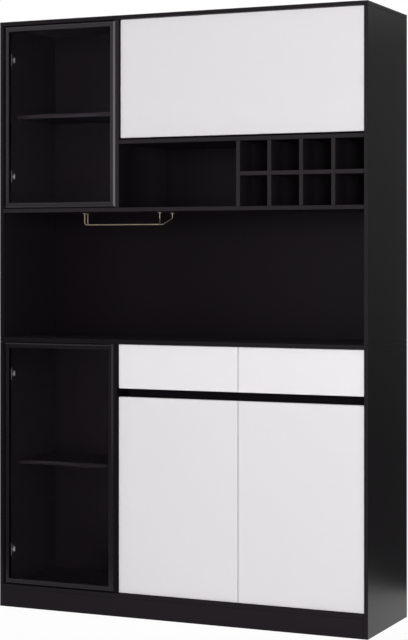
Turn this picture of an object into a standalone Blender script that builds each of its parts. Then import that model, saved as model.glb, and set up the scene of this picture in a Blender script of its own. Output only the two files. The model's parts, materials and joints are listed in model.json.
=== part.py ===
"""Tall sideboard: a black cabinet in two parts, with white fronts, modelled as separate pieces.

Metres, +Z up. The origin is on the floor under the middle of the cabinet, and the front faces -Y.
The lower cabinet has a glass door, two drawers and two doors under a full-width countertop. The
upper cabinet stands on the countertop over an open bay, and has a glass door, a lift-up flap, an
open niche and a wine rack.
"""
import math

import bmesh
import bpy
from mathutils import Matrix, Vector

# Overall size
WIDTH = 1.200
DEPTH = 0.350
HEIGHT = 1.800

# Carcass
BOARD = 0.012                    # thickness of every carcass board
SEAM = 0.0003                    # clearance between pieces that touch
EDGE_EASE = 0.0005               # chamfer along the edges of a board
PLINTH_HEIGHT = 0.057
COUNTER_HEIGHT = 0.828           # upper face of the countertop
NICHE_HEIGHT = 0.1905            # open niche and wine rack
FLAP_SPACE_HEIGHT = 0.361        # inside of the compartment behind the flap
UPPER_COLUMN_WIDTH = 0.388       # inside of the upper display compartment
LOWER_COLUMN_WIDTH = 0.382       # inside of the lower display compartment
BACK_PANEL = 0.003               # thickness of the back panels
BACK_SETBACK = 0.019             # from the rear edges of the carcass to the back panels
SIDE_GROOVE_DEPTH = 0.005        # grooves in the sides that hold the back panels
END_GROOVE_DEPTH = 0.003         # grooves in the boards over and under the back panels

# Wine rack
CELLS_ACROSS = 4
CELL_WIDTH = 0.08625

# Shelves behind the glass doors
SHELF_SETBACK = 0.083            # from the front edges of the carcass
UPPER_SHELF_SHARE = 0.5115       # share of the compartment's height under the middle of its shelf
LOWER_SHELF_SHARE = 0.493

# Doors, flap and drawer fronts
REVEAL = 0.0015                  # gap round each front
MEETING_GAP = 0.002              # gap between two fronts side by side
FRONT_INSET = 0.009              # white fronts behind the carcass's front edges
FRONT_THICKNESS = 0.016
FRONT_EASE = 0.001
DRAWER_FRONT_HEIGHT = 0.1315
GRIP_GAP = 0.0255                # finger gap between the drawer fronts and the doors
FLAP_GAP = 0.006                 # finger gap under the flap
FLAP_TOP_GAP = 0.0008

# Drawer rail behind the finger gap
RAIL_HEIGHT = 0.040
RAIL_SETBACK = 0.075             # from the front edges of the carcass

# Glass door frames: a rebated moulding with a sloping outer edge
FRAME_INSET = 0.001              # flat band behind the carcass's front edges
FRAME_WIDTH = 0.0165
FRAME_SLOPE_WIDTH = 0.0065
FRAME_SLOPE_DROP = 0.0035
FRAME_LINE = 0.0008              # width and depth of the fine groove
FRAME_LIP = 0.006                # depth of the lip in front of the glass
REBATE_WIDTH = 0.0045
GLASS = 0.004

# Concealed hinges
HINGE_FROM_END = 0.100           # hinge centre from the end of its door
ARM_HEIGHT = 0.019
ARM_LENGTH = 0.021
ARM_RISE = 0.013                 # inner face of the arm from the panel that carries it
ARM_TOE = 0.004                  # outer edge of the arm's foot from that panel
ARM_CHAMFER = 0.004
FRAME_ARM_REACH = 0.013          # inner edge of the foot on a glass door
FRONT_ARM_REACH = 0.024          # inner edge of the foot on a white front
FOOT_THICKNESS = 0.003
PLATE_HEIGHT = 0.040
PLATE_LENGTH = 0.0105
PLATE_THICKNESS = 0.004
PLATE_START = 0.002
CUP_EDGE = 0.0015                # cup housing from the outer edge of the frame
CUP_WIDTH = 0.010
CUP_DEPTH = 0.0057
CUP_HEIGHT = 0.036

# Drawers
TRAY_WALL = 0.012
TRAY_FLOOR = 0.006
TRAY_HEIGHT = 0.090
TRAY_LIFT = 0.003                # underside of the tray over the drawer rail
RUNNER_LENGTH = 0.270
RUNNER_SPACE = 0.0130            # between the cabinet and the tray
RUNNER_HEIGHT = 0.035
RUNNER_SHEET = 0.0012
RUNNER_CHANNEL = 0.0095          # depth of the fixed channel
RUNNER_LIP = 0.0055
RUNNER_START = 0.002             # runner's front end behind the drawer front

# Gas strut of the flap, beside the right side panel
STRUT_OFFSET = 0.014             # strut's axis from the side panel
STRUT_FOOT_DEPTH = 0.220         # lower pivot behind the carcass's front edges
STRUT_FOOT_DROP = 0.160          # lower pivot under the flap's axis
STRUT_HEAD_DROP = 0.035          # upper pivot under the flap's axis
STRUT_HEAD_STANDOFF = 0.014      # upper pivot behind the flap
TUBE_RADIUS = 0.0075
TUBE_WALL = 0.001
TUBE_MOUTH_GAP = 0.030           # from the mouth of the tube to the upper pivot, flap closed
TUBE_END_WALL = 0.004
TUBE_GUIDE = 0.010               # length of the rod guide in the mouth
NECK_LENGTH = 0.012
NECK_RADIUS = 0.004
ROD_RADIUS = 0.003
PISTON_LENGTH = 0.008
PISTON_GAP = 0.002               # piston over the bottom of the tube, flap closed
EYE_RADIUS = 0.005
EYE_HALF_WIDTH = 0.005
BRACKET_SHEET = 0.002
BRACKET_GAP = 0.0005             # beside the eye
BRACKET_FOOT = 0.022
BRACKET_DEPTH = 0.020
BRACKET_HEIGHT = 0.024

# Stemware rack under the upper cabinet
WIRE_RADIUS = 0.0016
RACK_FROM_SIDE = 0.1955          # closed end from the inside of the left side
RACK_RUN = 0.2615                # straight run of the two wires
RACK_FROM_FRONT = 0.175          # middle of the rack behind the front edges
RACK_HALF_GAP = 0.010            # wire centre from the rack's middle
RACK_DROP = 0.036                # wire centre under the upper cabinet
MOUTH_HALF_GAP = 0.044           # wire centre from the rack's middle at the open end
MOUTH_REACH = 0.016
MOUTH_RISE = 0.019
WIRE_BEND = 0.007                # radius of the bends
RACK_PLATE = 0.0015              # thickness of the fixing plates
RACK_PLATE_WIDTH = 0.010

ROUND_STEPS = 20                 # sides of a turned piece

# Levels and lines that pieces share
LEFT = -WIDTH / 2
RIGHT = WIDTH / 2
FRONT = -DEPTH / 2
REAR = DEPTH / 2
INNER_LEFT = LEFT + BOARD
INNER_RIGHT = RIGHT - BOARD
BACK_FACE = REAR - BACK_SETBACK - BACK_PANEL
GROOVE_FRONT = BACK_FACE - SEAM
GROOVE_REAR = BACK_FACE + BACK_PANEL + SEAM
PANEL_LEFT = INNER_LEFT - SIDE_GROOVE_DEPTH
PANEL_RIGHT = INNER_RIGHT + SIDE_GROOVE_DEPTH
BASE_TOP = PLINTH_HEIGHT + BOARD
COUNTER_UNDER = COUNTER_HEIGHT - BOARD
TOP_UNDER = HEIGHT - BOARD
FLAP_FLOOR_TOP = TOP_UNDER - FLAP_SPACE_HEIGHT
FLAP_FLOOR_UNDER = FLAP_FLOOR_TOP - BOARD
UPPER_FLOOR_TOP = FLAP_FLOOR_UNDER - NICHE_HEIGHT
UPPER_FLOOR_UNDER = UPPER_FLOOR_TOP - BOARD
UPPER_PARTITION_LEFT = INNER_LEFT + UPPER_COLUMN_WIDTH
UPPER_PARTITION_RIGHT = UPPER_PARTITION_LEFT + BOARD
LOWER_PARTITION_LEFT = INNER_LEFT + LOWER_COLUMN_WIDTH
LOWER_PARTITION_RIGHT = LOWER_PARTITION_LEFT + BOARD
RACK_CELLS_LEFT = INNER_RIGHT - CELLS_ACROSS * CELL_WIDTH - (CELLS_ACROSS - 1) * BOARD
NICHE_MIDDLE = (UPPER_FLOOR_TOP + FLAP_FLOOR_UNDER) / 2
UPPER_SHELF_MIDDLE = UPPER_FLOOR_TOP + UPPER_SHELF_SHARE * (TOP_UNDER - UPPER_FLOOR_TOP)
LOWER_SHELF_MIDDLE = BASE_TOP + LOWER_SHELF_SHARE * (COUNTER_UNDER - BASE_TOP)
SPLIT = (LOWER_PARTITION_RIGHT + INNER_RIGHT) / 2
FRONT_FACE = FRONT + FRONT_INSET
FRONT_BACK = FRONT_FACE + FRONT_THICKNESS
DRAWER_TOP = COUNTER_UNDER - REVEAL
DRAWER_BOTTOM = DRAWER_TOP - DRAWER_FRONT_HEIGHT
DOOR_TOP = DRAWER_BOTTOM - GRIP_GAP
DOOR_BOTTOM = BASE_TOP + REVEAL
RAIL_MIDDLE = (DRAWER_BOTTOM + DOOR_TOP) / 2
RAIL_TOP = RAIL_MIDDLE + RAIL_HEIGHT / 2
RAIL_UNDER = RAIL_MIDDLE - RAIL_HEIGHT / 2
RAIL_FACE = FRONT + RAIL_SETBACK
FLAP_TOP = TOP_UNDER - FLAP_TOP_GAP
FLAP_BOTTOM = FLAP_FLOOR_TOP + FLAP_GAP


def clear_scene():
    for old in list(bpy.data.objects):
        bpy.data.objects.remove(old, do_unlink=True)


def finish(name, color, roughness, metallic=0.0, transmission=0.0):
    material = bpy.data.materials.new(name)
    material.use_nodes = True
    shader = material.node_tree.nodes["Principled BSDF"]
    shader.inputs["Base Color"].default_value = (*color, 1.0)
    shader.inputs["Roughness"].default_value = roughness
    shader.inputs["Metallic"].default_value = metallic
    shader.inputs["Transmission Weight"].default_value = transmission
    return material


def add_object(name, mesh, material, location=(0.0, 0.0, 0.0), turn=(0.0, 0.0, 0.0), parent=None):
    """Place a mesh at a world location, or at a place on its parent's axis."""
    piece = bpy.data.objects.new(name, mesh)
    bpy.context.scene.collection.objects.link(piece)
    if not mesh.materials:
        mesh.materials.append(material)
    piece.location = location
    piece.rotation_euler = turn
    if parent is not None:
        piece.parent = parent
        piece.location = Vector(location) - parent.location
    return piece


def add_axis(name, location, turn=(0.0, 0.0, 0.0)):
    """An empty that stands on a joint's axis and carries what moves on it."""
    empty = bpy.data.objects.new(name, None)
    bpy.context.scene.collection.objects.link(empty)
    empty.location = location
    empty.rotation_euler = turn
    return empty


def mesh_from(bm, name, smooth=False):
    bmesh.ops.recalc_face_normals(bm, faces=bm.faces)
    mesh = bpy.data.meshes.new(name)
    bm.to_mesh(mesh)
    bm.free()
    if smooth:
        mesh.shade_smooth()
        mesh.set_sharp_from_angle(angle=math.radians(35))
    return mesh


def ease_edges(bm, width):
    """Chamfer the outward edges of a board."""
    bm.normal_update()
    sharp = [edge for edge in bm.edges if edge.is_convex and edge.calc_face_angle() > math.radians(30)]
    bmesh.ops.bevel(bm, geom=sharp, offset=width, segments=1, profile=0.5, affect='EDGES')


def outline_mesh(name, outline, thickness, plane, ease=0.0):
    """Extrude a closed outline by a thickness, half to each side of its plane.

    The plane is XY, XZ or YZ, in the order of the outline's two values.
    """
    frames = {
        'XY': lambda a, b, c: (a, b, c),
        'XZ': lambda a, b, c: (a, c, b),
        'YZ': lambda a, b, c: (c, a, b),
    }
    place = frames[plane]
    bm = bmesh.new()
    ring = [bm.verts.new(place(a, b, -thickness / 2)) for a, b in outline]
    face = bm.faces.new(ring)
    extruded = bmesh.ops.extrude_face_region(bm, geom=[face])
    moved = [item for item in extruded['geom'] if isinstance(item, bmesh.types.BMVert)]
    bmesh.ops.translate(bm, verts=moved, vec=place(0.0, 0.0, thickness))
    bmesh.ops.recalc_face_normals(bm, faces=bm.faces)
    if ease:
        ease_edges(bm, ease)
    return mesh_from(bm, name)


def add_board(name, x, y, z, material, ease=EDGE_EASE, parent=None):
    """A rectangular board between two values on each axis."""
    size = Vector((x[1] - x[0], y[1] - y[0], z[1] - z[0]))
    middle = Vector((x[0] + x[1], y[0] + y[1], z[0] + z[1])) / 2
    bm = bmesh.new()
    bmesh.ops.create_cube(bm, size=1.0, matrix=Matrix.Diagonal((*size, 1.0)))
    bmesh.ops.recalc_face_normals(bm, faces=bm.faces)
    if ease:
        ease_edges(bm, ease)
    return add_object(name, mesh_from(bm, name), material, middle, parent=parent)


def between(low, high):
    """The span of a piece that fits between two faces."""
    return low + SEAM, high - SEAM


def fused_mesh(name, pieces, operation='UNION'):
    """Make one closed solid of overlapping pieces, or cut the later ones out of the first."""
    base = pieces[0]
    for number, other in enumerate(pieces[1:]):
        step = base.modifiers.new(f"step_{number}", 'BOOLEAN')
        step.operation = operation
        step.solver = 'EXACT'
        step.object = other
    bpy.context.view_layer.update()
    graph = bpy.context.evaluated_depsgraph_get()
    mesh = bpy.data.meshes.new_from_object(base.evaluated_get(graph))
    mesh.name = name
    mesh.transform(base.matrix_world)
    mesh.materials.clear()
    for piece in pieces:
        bpy.data.objects.remove(piece, do_unlink=True)
    return mesh


def turned_mesh(name, profile, steps=ROUND_STEPS):
    """Turn a profile of (radius, height) points about +Z; its ends lie on the axis."""
    bm = bmesh.new()
    points = [bm.verts.new((radius, 0.0, height)) for radius, height in profile]
    edges = [bm.edges.new(pair) for pair in zip(points, points[1:])]
    bmesh.ops.spin(bm, geom=points + edges, cent=(0.0, 0.0, 0.0), axis=(0.0, 0.0, 1.0),
                   angle=math.tau, steps=steps)
    bmesh.ops.remove_doubles(bm, verts=bm.verts, dist=1e-6)
    return mesh_from(bm, name)


def side_outline(inner, outer):
    """Section of a side panel in XY, with the groove for the back panel in its inner face."""
    depth = math.copysign(SIDE_GROOVE_DEPTH, outer - inner)
    return [
        (inner, FRONT),
        (inner, GROOVE_FRONT),
        (inner + depth, GROOVE_FRONT),
        (inner + depth, GROOVE_REAR),
        (inner, GROOVE_REAR),
        (inner, REAR),
        (outer, REAR),
        (outer, FRONT),
    ]


def add_side(name, inner, outer, z, material):
    height = z[1] - z[0]
    middle = (inner + outer) / 2
    outline = [(x - middle, y) for x, y in side_outline(inner, outer)]
    mesh = outline_mesh(name, outline, height, 'XY', EDGE_EASE)
    add_object(name, mesh, material, (middle, 0.0, (z[0] + z[1]) / 2))


def add_grooved_board(name, x, z, grooved_faces, material):
    """A full-depth board with a groove for a back panel in its lower or upper face, or in both."""
    pieces = [add_board(name, x, (FRONT, REAR), z, material)]
    for face in grooved_faces:
        pieces.append(add_board("groove", (PANEL_LEFT, PANEL_RIGHT), (GROOVE_FRONT, GROOVE_REAR),
                                (face - END_GROOVE_DEPTH, face + END_GROOVE_DEPTH), None, ease=0.0))
    add_object(name, fused_mesh(name, pieces, 'DIFFERENCE'), material)


def build_carcass(black, back_black):
    inside = between(INNER_LEFT, INNER_RIGHT)
    shelf_depth = (FRONT, GROOVE_FRONT)

    lower = (0.0, COUNTER_UNDER - SEAM)
    upper = between(COUNTER_HEIGHT, TOP_UNDER)
    for part, z in (("lower", lower), ("upper", upper)):
        add_side(f"{part}_left_side", INNER_LEFT, LEFT, z, black)
        add_side(f"{part}_right_side", INNER_RIGHT, RIGHT, z, black)

    add_grooved_board("top_panel", (LEFT, RIGHT), (TOP_UNDER, HEIGHT), [TOP_UNDER], black)
    add_grooved_board("countertop", (LEFT, RIGHT), (COUNTER_UNDER, COUNTER_HEIGHT),
                      [COUNTER_UNDER, COUNTER_HEIGHT], black)
    add_grooved_board("base_panel", inside, (PLINTH_HEIGHT, BASE_TOP), [BASE_TOP], black)
    add_board("front_plinth", inside, (FRONT, FRONT + BOARD), (0.0, PLINTH_HEIGHT - SEAM), black)
    add_board("upper_floor_panel", inside, shelf_depth, (UPPER_FLOOR_UNDER, UPPER_FLOOR_TOP), black)

    add_board("lower_partition", (LOWER_PARTITION_LEFT, LOWER_PARTITION_RIGHT), shelf_depth,
              between(BASE_TOP, COUNTER_UNDER), black)
    add_board("upper_partition", (UPPER_PARTITION_LEFT, UPPER_PARTITION_RIGHT), shelf_depth,
              between(UPPER_FLOOR_TOP, TOP_UNDER), black)
    add_board("flap_floor_panel", between(UPPER_PARTITION_RIGHT, INNER_RIGHT), shelf_depth,
              (FLAP_FLOOR_UNDER, FLAP_FLOOR_TOP), black)

    panel_y = (BACK_FACE, BACK_FACE + BACK_PANEL)
    panel_x = between(PANEL_LEFT, PANEL_RIGHT)
    for part, low, high in (("lower", BASE_TOP, COUNTER_UNDER), ("upper", COUNTER_HEIGHT, TOP_UNDER)):
        panel_z = between(low - END_GROOVE_DEPTH, high + END_GROOVE_DEPTH)
        add_board(f"{part}_back_panel", panel_x, panel_y, panel_z, back_black)

    shelf_y = (FRONT + SHELF_SETBACK, GROOVE_FRONT)
    add_board("upper_display_shelf", between(INNER_LEFT, UPPER_PARTITION_LEFT), shelf_y,
              (UPPER_SHELF_MIDDLE - BOARD / 2, UPPER_SHELF_MIDDLE + BOARD / 2), black)
    add_board("lower_display_shelf", between(INNER_LEFT, LOWER_PARTITION_LEFT), shelf_y,
              (LOWER_SHELF_MIDDLE - BOARD / 2, LOWER_SHELF_MIDDLE + BOARD / 2), black)


def build_drawer_frame(black):
    """The rail behind the finger gap, and the divider between the drawers, notched over the rail."""
    rail_back = RAIL_FACE + BOARD
    add_board("drawer_rail", between(LOWER_PARTITION_RIGHT, INNER_RIGHT), (RAIL_FACE, rail_back),
              (RAIL_UNDER, RAIL_TOP), black)
    top = COUNTER_UNDER - SEAM
    outline = [
        (FRONT_BACK + SEAM, RAIL_TOP + SEAM),
        (rail_back + SEAM, RAIL_TOP + SEAM),
        (rail_back + SEAM, RAIL_UNDER),
        (GROOVE_FRONT, RAIL_UNDER),
        (GROOVE_FRONT, top),
        (FRONT_BACK + SEAM, top),
    ]
    mesh = outline_mesh("drawer_divider", outline, BOARD, 'YZ', EDGE_EASE)
    add_object("drawer_divider", mesh, black, (SPLIT, 0.0, 0.0))


def build_wine_rack(black):
    """Upright dividers halved into one shelf: the shelf is slotted from behind."""
    shelf_low = NICHE_MIDDLE - BOARD / 2
    shelf_high = NICHE_MIDDLE + BOARD / 2
    rear = GROOVE_FRONT
    halving = (FRONT + rear) / 2
    low, high = between(UPPER_FLOOR_TOP, FLAP_FLOOR_UNDER)
    add_board("wine_rack_end_panel", (RACK_CELLS_LEFT - BOARD, RACK_CELLS_LEFT), (FRONT, rear),
              (low, high), black)

    divider_outline = [
        (FRONT, low),
        (rear, low),
        (rear, high),
        (FRONT, high),
        (FRONT, shelf_high + SEAM),
        (halving + SEAM, shelf_high + SEAM),
        (halving + SEAM, shelf_low - SEAM),
        (FRONT, shelf_low - SEAM),
    ]
    divider_mesh = outline_mesh("wine_rack_divider", divider_outline, BOARD, 'YZ', EDGE_EASE)
    lefts = []
    for number in range(1, CELLS_ACROSS):
        left = RACK_CELLS_LEFT + number * CELL_WIDTH + (number - 1) * BOARD
        add_object(f"wine_rack_divider_{number}", divider_mesh, black, (left + BOARD / 2, 0.0, 0.0))
        lefts.append(left)

    shelf_left, shelf_right = between(RACK_CELLS_LEFT, INNER_RIGHT)
    outline = [(shelf_left, FRONT), (shelf_right, FRONT), (shelf_right, rear)]
    for left in reversed(lefts):
        outline.append((left + BOARD + SEAM, rear))
        outline.append((left + BOARD + SEAM, halving))
        outline.append((left - SEAM, halving))
        outline.append((left - SEAM, rear))
    outline.append((shelf_left, rear))
    mesh = outline_mesh("wine_rack_shelf", outline, BOARD, 'XY', EDGE_EASE)
    add_object("wine_rack_shelf", mesh, black, (0.0, 0.0, NICHE_MIDDLE))


def bent_path(corners, radius, steps=4):
    """Points along straight runs joined by arcs of one radius."""
    points = [Vector(corners[0])]
    for before, corner, after in zip(corners, corners[1:], corners[2:]):
        corner = Vector(corner)
        back = (Vector(before) - corner).normalized()
        ahead = (Vector(after) - corner).normalized()
        half = back.angle(ahead) / 2
        middle = corner + (back + ahead).normalized() * radius / math.sin(half)
        start = corner + back * radius / math.tan(half)
        axis = ahead.cross(back).normalized()
        sweep = math.pi - 2 * half
        for step in range(steps + 1):
            turn = Matrix.Rotation(sweep * step / steps, 3, axis)
            points.append(middle + turn @ (start - middle))
    points.append(Vector(corners[-1]))
    return points


def add_wire(name, points):
    """A round wire along points, with closed ends."""
    curve = bpy.data.curves.new(name, 'CURVE')
    curve.dimensions = '3D'
    spline = curve.splines.new('POLY')
    spline.points.add(len(points) - 1)
    for place, point in zip(spline.points, points):
        place.co = (*point, 1.0)
    curve.bevel_depth = WIRE_RADIUS
    curve.bevel_resolution = 3
    curve.use_fill_caps = True
    wire = bpy.data.objects.new(name, curve)
    bpy.context.scene.collection.objects.link(wire)
    bpy.context.view_layer.update()
    graph = bpy.context.evaluated_depsgraph_get()
    mesh = bpy.data.meshes.new_from_object(wire.evaluated_get(graph))
    bpy.data.objects.remove(wire, do_unlink=True)
    bm = bmesh.new()
    bm.from_mesh(mesh)
    bmesh.ops.remove_doubles(bm, verts=bm.verts, dist=1e-6)
    return add_object(name, mesh_from(bm, name), None)


def add_rack_plate(x, y, half_depth):
    """A fixing plate of the stemware rack, flat under the upper cabinet."""
    half = RACK_PLATE_WIDTH / 2
    top = UPPER_FLOOR_UNDER - SEAM
    return add_board("rack_plate", (x - half, x + half), (y - half_depth, y + half_depth),
                     (top - RACK_PLATE, top), None, ease=0.0)


def build_stemware_rack(brass):
    """Two wires that hold glasses by their feet, open at the right end."""
    wire_top = UPPER_FLOOR_UNDER - SEAM - RACK_PLATE / 2
    middle = FRONT + RACK_FROM_FRONT
    closed_end = INNER_LEFT + RACK_FROM_SIDE
    open_end = closed_end + RACK_RUN
    low = UPPER_FLOOR_UNDER - RACK_DROP
    half = RACK_PLATE_WIDTH / 2

    pieces = [add_rack_plate(closed_end, middle, RACK_HALF_GAP + half)]
    for side in (-1.0, 1.0):
        near = middle + side * RACK_HALF_GAP
        far = middle + side * MOUTH_HALF_GAP
        mouth = open_end + MOUTH_REACH
        corners = [
            (closed_end, near, wire_top),
            (closed_end, near, low),
            (open_end, near, low),
            (mouth, far, low + MOUTH_RISE),
            (mouth, far, wire_top),
        ]
        pieces.append(add_wire("rack_wire", bent_path(corners, WIRE_BEND)))
        pieces.append(add_rack_plate(mouth, far, half))
    mesh = fused_mesh("stemware_rack", pieces)
    smooth_round(mesh)
    add_object("stemware_rack", mesh, brass)


def arm_mesh(name, reach):
    """A hinge arm with its cross-shaped fixing plate.

    X runs from the panel that carries it, Y from the front it holds, and Z along the joint.
    """
    outline = [(ARM_TOE, 0.0), (reach, 0.0)]
    if reach > ARM_RISE:
        outline.append((reach, FOOT_THICKNESS))
        outline.append((ARM_RISE, FOOT_THICKNESS + (reach - ARM_RISE) / 2))
    outline.append((ARM_RISE, ARM_LENGTH - ARM_CHAMFER))
    outline.append((ARM_RISE - ARM_CHAMFER, ARM_LENGTH))
    outline.append((SEAM, ARM_LENGTH))
    outline.append((SEAM, ARM_TOE))
    arm = add_object("arm", outline_mesh("arm", outline, ARM_HEIGHT, 'XY'), None)
    plate_end = PLATE_START + PLATE_LENGTH
    wings = [(SEAM, PLATE_START), (PLATE_THICKNESS, PLATE_START), (PLATE_THICKNESS, plate_end),
             (SEAM, plate_end)]
    plate = add_object("plate", outline_mesh("plate", wings, PLATE_HEIGHT, 'XY'), None)
    return fused_mesh(name, [arm, plate])


def frame_section():
    """Section of a door frame: inward from its outer edge, and back from its flat band."""
    depth = FRONT_BACK - FRONT - FRAME_INSET
    inner = FRAME_WIDTH
    return [
        (0.0, FRAME_SLOPE_DROP),
        (FRAME_SLOPE_WIDTH, 0.0),
        (FRAME_SLOPE_WIDTH + FRAME_LINE / 2, FRAME_LINE),
        (FRAME_SLOPE_WIDTH + FRAME_LINE, 0.0),
        (inner - EDGE_EASE, 0.0),
        (inner, EDGE_EASE),
        (inner, FRAME_LIP),
        (inner - REBATE_WIDTH, FRAME_LIP),
        (inner - REBATE_WIDTH, depth),
        (0.0, depth),
    ]


def frame_mesh(name, width, height):
    """Run the frame section round a rectangle with mitred corners, from its lower left corner."""
    bm = bmesh.new()
    rings = []
    for inward, back in frame_section():
        corners = [(inward, inward), (width - inward, inward), (width - inward, height - inward),
                   (inward, height - inward)]
        rings.append([bm.verts.new((x, back, z)) for x, z in corners])
    for ring, following in zip(rings, rings[1:] + rings[:1]):
        for corner in range(4):
            after = (corner + 1) % 4
            bm.faces.new((ring[corner], ring[after], following[after], following[corner]))
    return mesh_from(bm, name)


def build_glass_door(name, x, z, black, glass, steel, arm):
    """A framed glass door hinged on its left edge, with its hinges."""
    axis = add_axis(f"{name}_axis", (x[0], FRONT + FRAME_INSET, z[0]))
    mesh = frame_mesh(f"{name}_frame", x[1] - x[0], z[1] - z[0])
    add_object(f"{name}_frame", mesh, black, axis.location, parent=axis)

    pane_inset = FRAME_WIDTH - REBATE_WIDTH + SEAM
    pane_face = FRONT + FRAME_INSET + FRAME_LIP + SEAM
    add_board(f"{name}_glass", (x[0] + pane_inset, x[1] - pane_inset), (pane_face, pane_face + GLASS),
              (z[0] + pane_inset, z[1] - pane_inset), glass, parent=axis)

    cup_face = FRONT_BACK + SEAM
    cup_left = x[0] + CUP_EDGE
    for end, middle in (("top", z[1] - HINGE_FROM_END), ("bottom", z[0] + HINGE_FROM_END)):
        add_board(f"{name}_{end}_hinge_cup", (cup_left, cup_left + CUP_WIDTH),
                  (cup_face, cup_face + CUP_DEPTH), (middle - CUP_HEIGHT / 2, middle + CUP_HEIGHT / 2),
                  steel, parent=axis)
        add_object(f"{name}_{end}_hinge_arm", arm, steel, (INNER_LEFT, cup_face + CUP_DEPTH + SEAM, middle))


def build_front_door(name, x, hinge_x, panel_x, turn, white, steel, arm):
    """A white door hinged at one edge on a panel, with its hinge arms."""
    axis = add_axis(f"{name}_axis", (hinge_x, FRONT_FACE, DOOR_BOTTOM))
    add_board(name, x, (FRONT_FACE, FRONT_BACK), (DOOR_BOTTOM, DOOR_TOP), white, FRONT_EASE, parent=axis)
    for end, middle in (("top", DOOR_TOP - HINGE_FROM_END), ("bottom", DOOR_BOTTOM + HINGE_FROM_END)):
        add_object(f"{name}_{end}_hinge_arm", arm, steel, (panel_x, FRONT_BACK + SEAM, middle),
                   (0.0, turn, 0.0))


def build_flap(white, steel, arm):
    """The lift-up flap, hinged along its top edge under the top panel."""
    left = UPPER_PARTITION_RIGHT + REVEAL
    right = INNER_RIGHT - REVEAL
    axis = add_axis("flap_axis", ((left + right) / 2, FRONT_FACE, FLAP_TOP))
    add_board("flap", (left, right), (FRONT_FACE, FRONT_BACK), (FLAP_BOTTOM, FLAP_TOP), white, FRONT_EASE,
              parent=axis)
    for side, place in (("left", left + HINGE_FROM_END), ("right", right - HINGE_FROM_END)):
        add_object(f"flap_{side}_hinge_arm", arm, steel, (place, FRONT_BACK + SEAM, TOP_UNDER),
                   (0.0, math.pi / 2, 0.0))
    return axis


def add_eye(name, low, high):
    """A short round boss along X."""
    mesh = turned_mesh(name, [(0.0, low), (EYE_RADIUS, low), (EYE_RADIUS, high), (0.0, high)])
    mesh.transform(Matrix.Rotation(math.pi / 2, 4, 'Y'))
    return add_object(name, mesh, None)


def build_strut(flap_axis, steel, dark_steel):
    """The gas strut that holds the flap up: tube on the cabinet, rod on the flap's bracket."""
    strut_x = INNER_RIGHT - STRUT_OFFSET
    foot = Vector((strut_x, FRONT + STRUT_FOOT_DEPTH, FLAP_TOP - STRUT_FOOT_DROP))
    head = Vector((strut_x, FRONT_BACK + STRUT_HEAD_STANDOFF, FLAP_TOP - STRUT_HEAD_DROP))
    length = (head - foot).length
    along = (head - foot).normalized()
    lean = math.atan2(-along.y, along.z)
    tube_axis = add_axis("strut_tube_axis", foot, (lean, 0.0, 0.0))
    rod_axis = add_axis("strut_rod_axis", foot, (lean, 0.0, 0.0))

    bore = TUBE_RADIUS - TUBE_WALL
    bottom = NECK_LENGTH + TUBE_END_WALL
    mouth = length - TUBE_MOUTH_GAP
    guide = mouth - TUBE_GUIDE
    guide_radius = ROD_RADIUS + SEAM
    tube = turned_mesh("strut_tube", [
        (0.0, 0.0),
        (NECK_RADIUS, 0.0),
        (NECK_RADIUS, NECK_LENGTH),
        (TUBE_RADIUS, NECK_LENGTH + TUBE_WALL),
        (TUBE_RADIUS, mouth - TUBE_WALL),
        (TUBE_RADIUS - TUBE_WALL, mouth),
        (guide_radius, mouth),
        (guide_radius, guide),
        (bore, guide),
        (bore, bottom),
        (0.0, bottom),
    ])
    pieces = [add_object("tube", tube, None), add_eye("eye", -EYE_HALF_WIDTH, STRUT_OFFSET - SEAM)]
    mesh = fused_mesh("strut_tube", pieces)
    smooth_round(mesh)
    piece = add_object("strut_tube", mesh, dark_steel, foot, parent=tube_axis)
    piece.location = (0.0, 0.0, 0.0)

    piston = bottom + PISTON_GAP
    piston_radius = bore - SEAM
    rod = turned_mesh("strut_rod", [
        (0.0, piston),
        (piston_radius, piston),
        (piston_radius, piston + PISTON_LENGTH),
        (ROD_RADIUS, piston + PISTON_LENGTH),
        (ROD_RADIUS, length),
        (0.0, length),
    ])
    eye = add_eye("eye", -EYE_HALF_WIDTH, EYE_HALF_WIDTH)
    eye.location = (0.0, 0.0, length)
    mesh = fused_mesh("strut_rod", [add_object("rod", rod, None), eye])
    smooth_round(mesh)
    piece = add_object("strut_rod", mesh, steel, foot, parent=rod_axis)
    piece.location = (0.0, 0.0, 0.0)

    inner = strut_x - EYE_HALF_WIDTH - BRACKET_GAP
    face = FRONT_BACK + SEAM
    outline = [
        (inner - BRACKET_FOOT, face),
        (inner, face),
        (inner, face + BRACKET_DEPTH),
        (inner - BRACKET_SHEET, face + BRACKET_DEPTH),
        (inner - BRACKET_SHEET, face + BRACKET_SHEET),
        (inner - BRACKET_FOOT, face + BRACKET_SHEET),
    ]
    mesh = outline_mesh("flap_strut_bracket", outline, BRACKET_HEIGHT, 'XY')
    add_object("flap_strut_bracket", mesh, steel, (0.0, 0.0, head.z), parent=flap_axis)


def smooth_round(mesh):
    mesh.shade_smooth()
    mesh.set_sharp_from_angle(angle=math.radians(35))


def channel_outline():
    """Fixed runner: a channel with lips, outward from the wall that carries it, against height."""
    half = RUNNER_HEIGHT / 2
    sheet = RUNNER_SHEET
    lip = half - RUNNER_LIP
    outer = RUNNER_CHANNEL
    return [
        (SEAM, -half),
        (outer, -half),
        (outer, -lip),
        (outer - sheet, -lip),
        (outer - sheet, sheet - half),
        (SEAM + sheet, sheet - half),
        (SEAM + sheet, half - sheet),
        (outer - sheet, half - sheet),
        (outer - sheet, lip),
        (outer, lip),
        (outer, half),
        (SEAM, half),
    ]


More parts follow.
